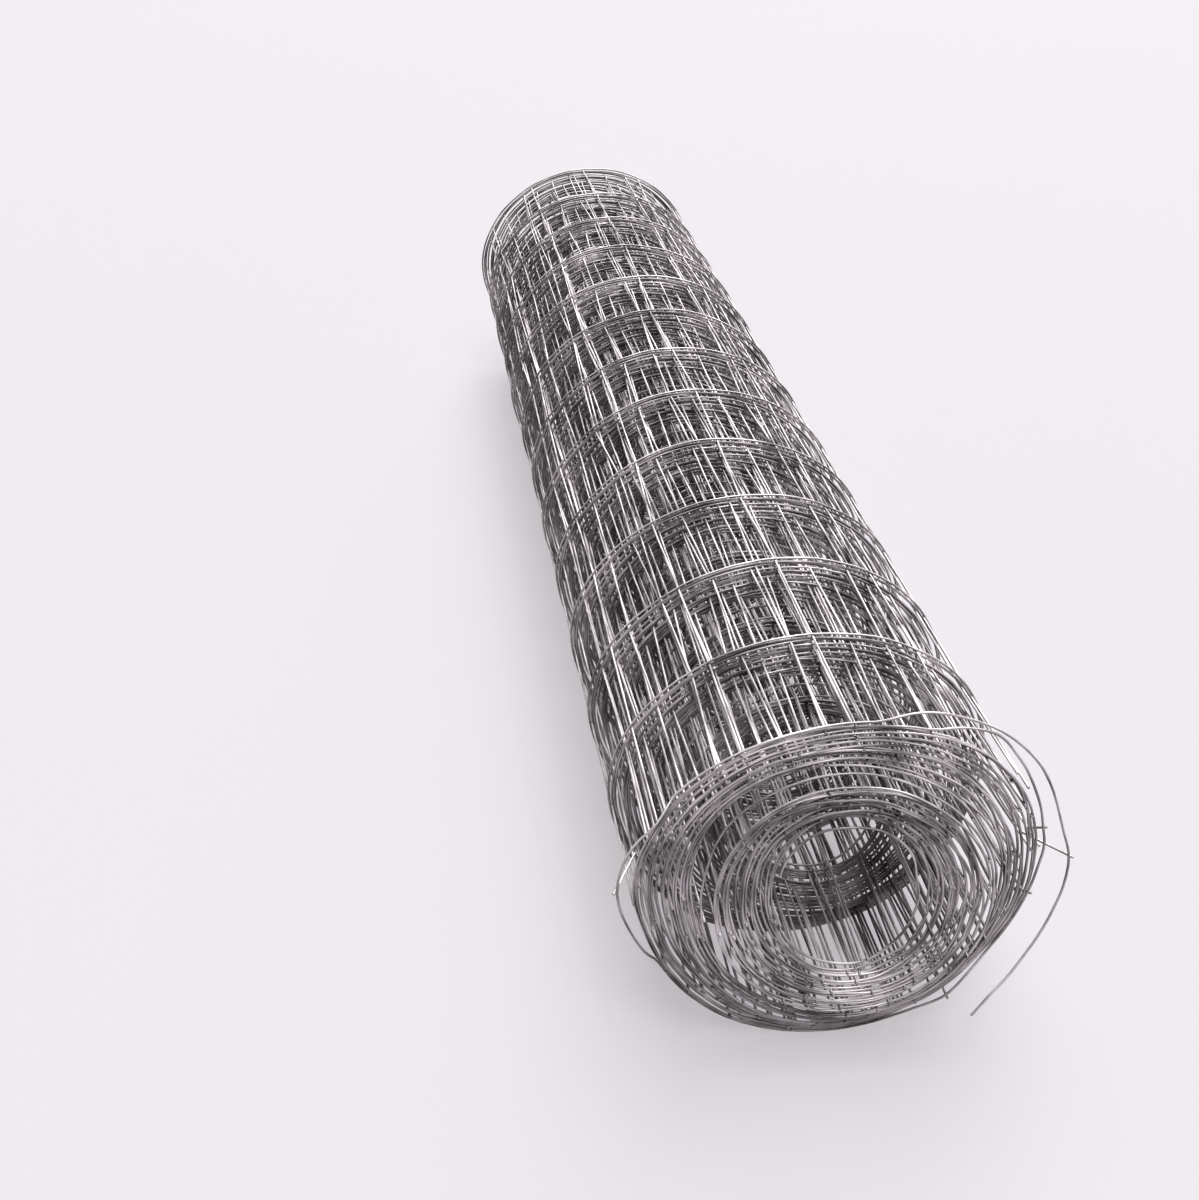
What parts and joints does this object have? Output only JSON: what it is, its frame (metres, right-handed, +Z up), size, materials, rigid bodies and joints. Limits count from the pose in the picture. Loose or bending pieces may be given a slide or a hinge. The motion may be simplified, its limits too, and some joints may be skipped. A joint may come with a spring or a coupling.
{
  "type": "roll of welded steel wire mesh",
  "caption": "Long roll of thin galvanised welded wire mesh lying on its side, its turns open on the ends around a clear bore, with a few sprung edge wires.",
  "frame": {"origin": "on the axis of the bore, halfway between the two edges of the mesh", "axes": "+Y along the roll's axis, away from the end with the sprung wires; +Z up with the roll lying on its side; +X to the right seen from that end"},
  "size_m": [0.3242, 1.2253, 0.284],
  "materials": {
    "galvanised_wire": "galvanised drawn steel wire, dull grey with a soft sheen, darker at the welds"
  },
  "bodies": {
    "root": {"mesh_roll": "galvanised_wire", "loose_edge_wires": "galvanised_wire"}
  },
  "joints": []
}
